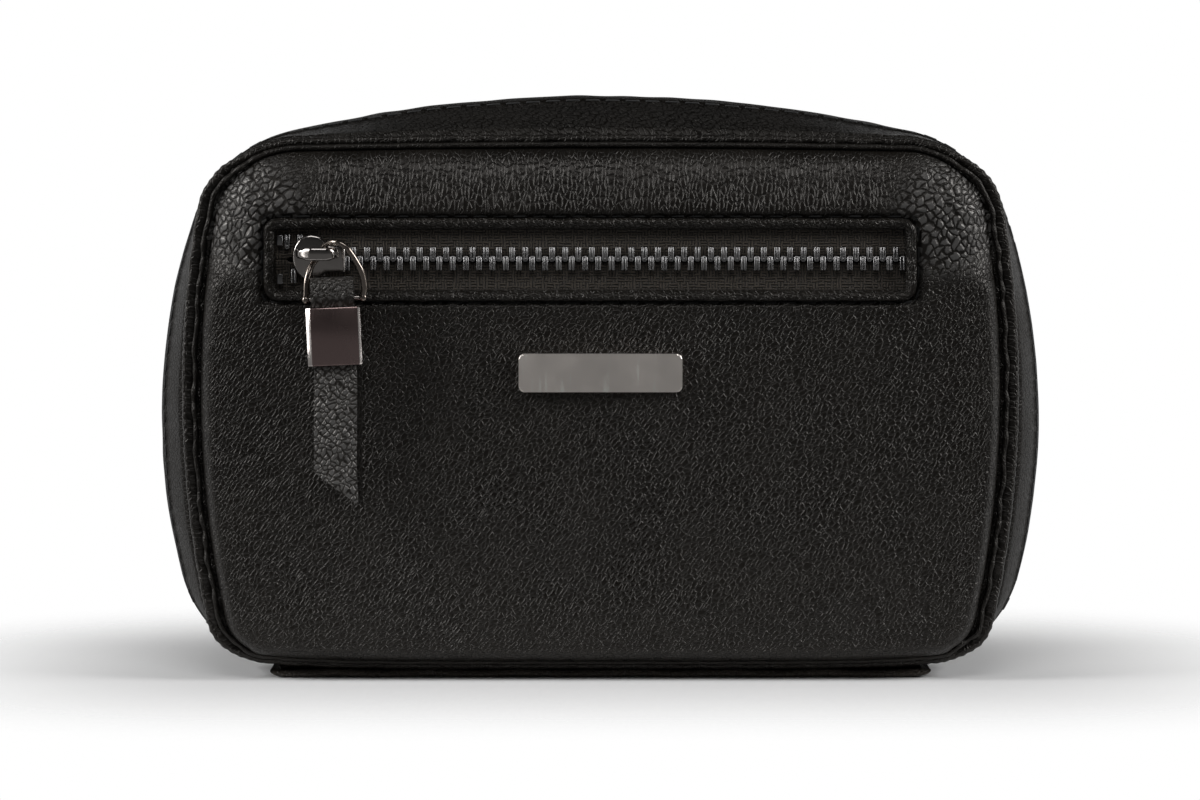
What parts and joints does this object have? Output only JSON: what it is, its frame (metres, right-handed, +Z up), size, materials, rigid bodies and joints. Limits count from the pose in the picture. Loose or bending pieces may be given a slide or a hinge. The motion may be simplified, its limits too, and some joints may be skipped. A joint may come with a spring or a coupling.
{
  "type": "glucose meter case",
  "caption": "Zip-round leather case with two padded halves on a spine strip, a zipped front pocket with a leather pull tab, a bare metal plate and fittings inside for a meter and a pen.",
  "frame": {"origin": "centre of the spine's flat underside, on which the case stands", "axes": "+X to the right along the spine, +Y from the pocket side to the back, +Z up"},
  "size_m": [0.183, 0.067, 0.1197],
  "materials": {
    "leather": "near-black pebbled leather with a soft sheen",
    "strap_leather": "near-black leather with a cut edge",
    "zip_tape": "dark brown-black woven twill",
    "gunmetal": "polished gunmetal plating",
    "nickel": "satin nickel plating",
    "zip_coil": "black nylon coil",
    "foam": "soft padding",
    "board": "stiff fibreboard",
    "lining": "black woven lining",
    "elastic": "black ribbed elastic"
  },
  "bodies": {
    "spine": {"spine_leather": "leather", "spine_board": "board", "spine_lining": "lining"},
    "front_half": {"front_panel": "leather", "front_piping": "leather", "front_gusset": "leather", "front_foam": "foam", "front_board": "board", "front_lining": "lining", "front_zip_tape": "zip_tape", "front_zip_coil": "zip_coil", "pocket_welt": "leather", "pocket_tape_upper": "zip_tape", "pocket_tape_lower": "zip_tape", "pocket_teeth_upper": "gunmetal", "pocket_teeth_lower": "gunmetal", "pocket_stop_upper": "gunmetal", "pocket_stop_lower": "gunmetal", "pocket_end_stop": "gunmetal", "pocket_bag": "lining", "nameplate": "nickel", "nameplate_backing": "gunmetal", "slip_pocket": "lining", "slip_pocket_binding": "elastic"},
    "rear_half": {"rear_panel": "leather", "rear_piping": "leather", "rear_gusset": "leather", "rear_foam": "foam", "rear_board": "board", "rear_lining": "lining", "rear_zip_tape": "zip_tape", "rear_zip_coil": "zip_coil", "meter_strap": "elastic", "pen_loop": "elastic"},
    "pocket_slider": {"slider_body": "gunmetal", "slider_bridge": "gunmetal"},
    "pull_ring": {"pull_wire": "gunmetal", "pull_pin": "gunmetal"},
    "pull_tab": {"tab_leather": "strap_leather", "tab_clamp": "gunmetal"},
    "main_slider": {"main_slider_body": "gunmetal", "main_slider_bridge": "gunmetal"},
    "main_pull": {"main_pull": "gunmetal"}
  },
  "joints": [
    {"name": "front_fold", "type": "hinge", "parent": "spine", "child": "front_half", "pos_m": [0, -0.0244, 0.0036], "axis": [1, 0, 0], "range_deg": [0, 90]},
    {"name": "rear_fold", "type": "hinge", "parent": "spine", "child": "rear_half", "pos_m": [0, 0.0244, 0.0036], "axis": [-1, 0, 0], "range_deg": [0, 90]},
    {"name": "pocket_zip", "type": "slide", "parent": "front_half", "child": "pocket_slider", "axis": [1, 0, 0], "range_m": [0, 0.111], "deforming": ["pocket_teeth_upper", "pocket_teeth_lower"]},
    {"name": "ring_swing", "type": "hinge", "parent": "pocket_slider", "child": "pull_ring", "pos_m": [-0.0565, -0.03441, 0.0871], "axis": [-1, 0, 0], "range_deg": [0, 60]},
    {"name": "tab_swing", "type": "hinge", "parent": "pull_ring", "child": "pull_tab", "pos_m": [-0.05314, -0.034, 0.07844], "axis": [-0.999, 0, -0.0436], "range_deg": [0, 20]},
    {"name": "main_zip", "type": "hinge", "parent": "rear_half", "child": "main_slider", "pos_m": [-0.03988, 0, 0.05231], "axis": [0, -1, 0], "range_deg": [-3.6, 23.5]},
    {"name": "main_pull_swing", "type": "hinge", "parent": "main_slider", "child": "main_pull", "pos_m": [0.08838, 0, 0.03447], "axis": [0, -1, 0], "range_deg": [0, 170]}
  ]
}
